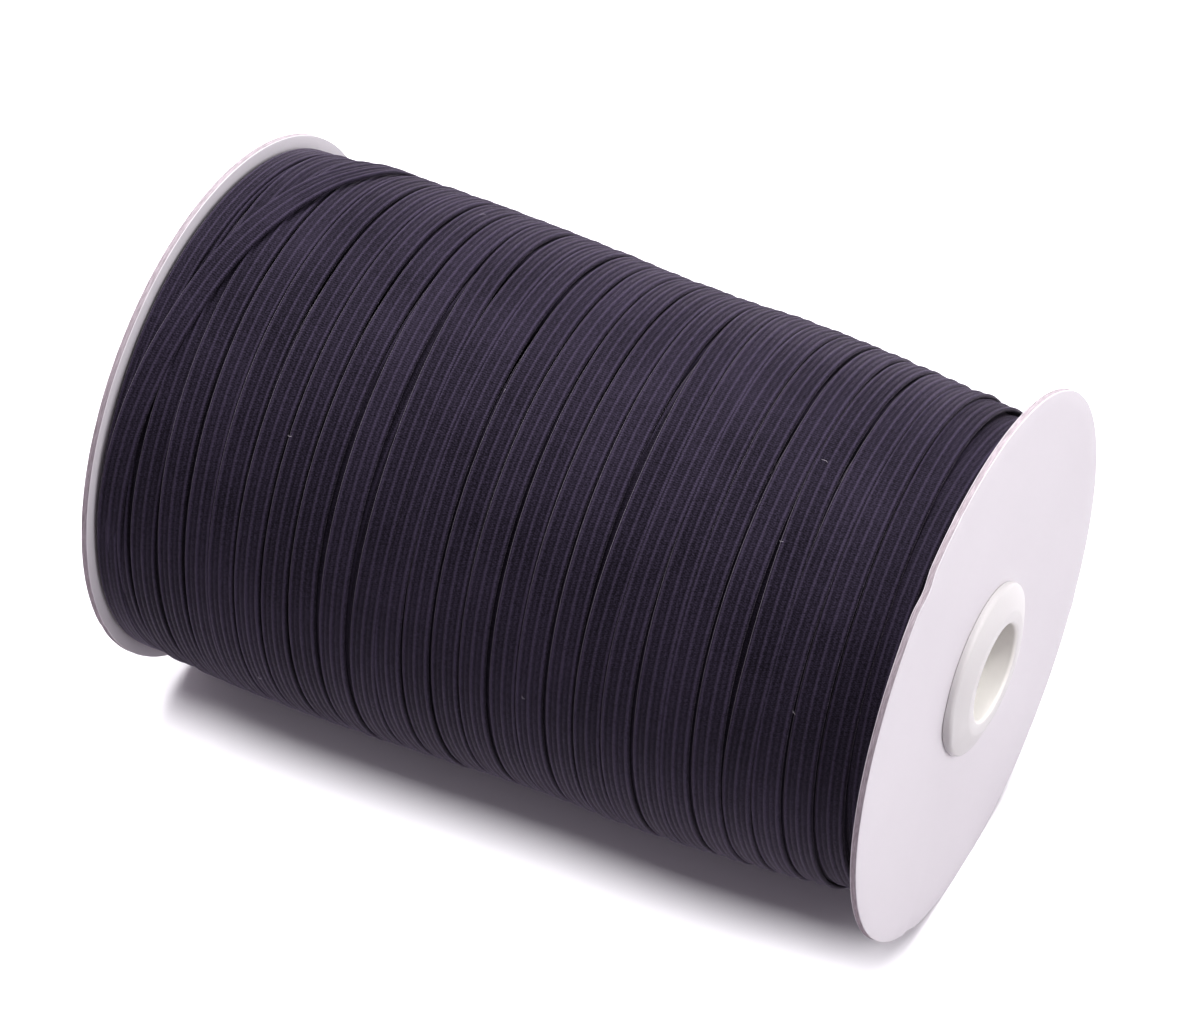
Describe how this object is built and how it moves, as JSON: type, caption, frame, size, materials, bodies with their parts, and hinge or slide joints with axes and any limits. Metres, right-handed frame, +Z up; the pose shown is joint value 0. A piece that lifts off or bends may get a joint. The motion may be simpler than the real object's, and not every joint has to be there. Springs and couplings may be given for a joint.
{
  "type": "reel of elastic",
  "caption": "Reel of flat braided elastic, wound in side-by-side turns between white card discs with plastic hub bushes.",
  "frame": {"origin": "on the floor under the middle of the reel, where the rims of both discs rest", "axes": "+X along the reel's axis towards the disc that faces the camera, +Z up, -Y towards the front of the reel"},
  "size_m": [0.1696, 0.109, 0.1087],
  "materials": {
    "elastic": "near-black braided elastic with a violet cast and fine lengthwise ribs",
    "card": "white paper-faced card with a grey-brown board edge",
    "hub_plastic": "smooth off-white plastic with a soft sheen"
  },
  "bodies": {
    "root": {"elastic_winding": "elastic", "card_disc_left": "card", "card_disc_right": "card", "hub_left": "hub_plastic", "hub_right": "hub_plastic"}
  },
  "joints": []
}
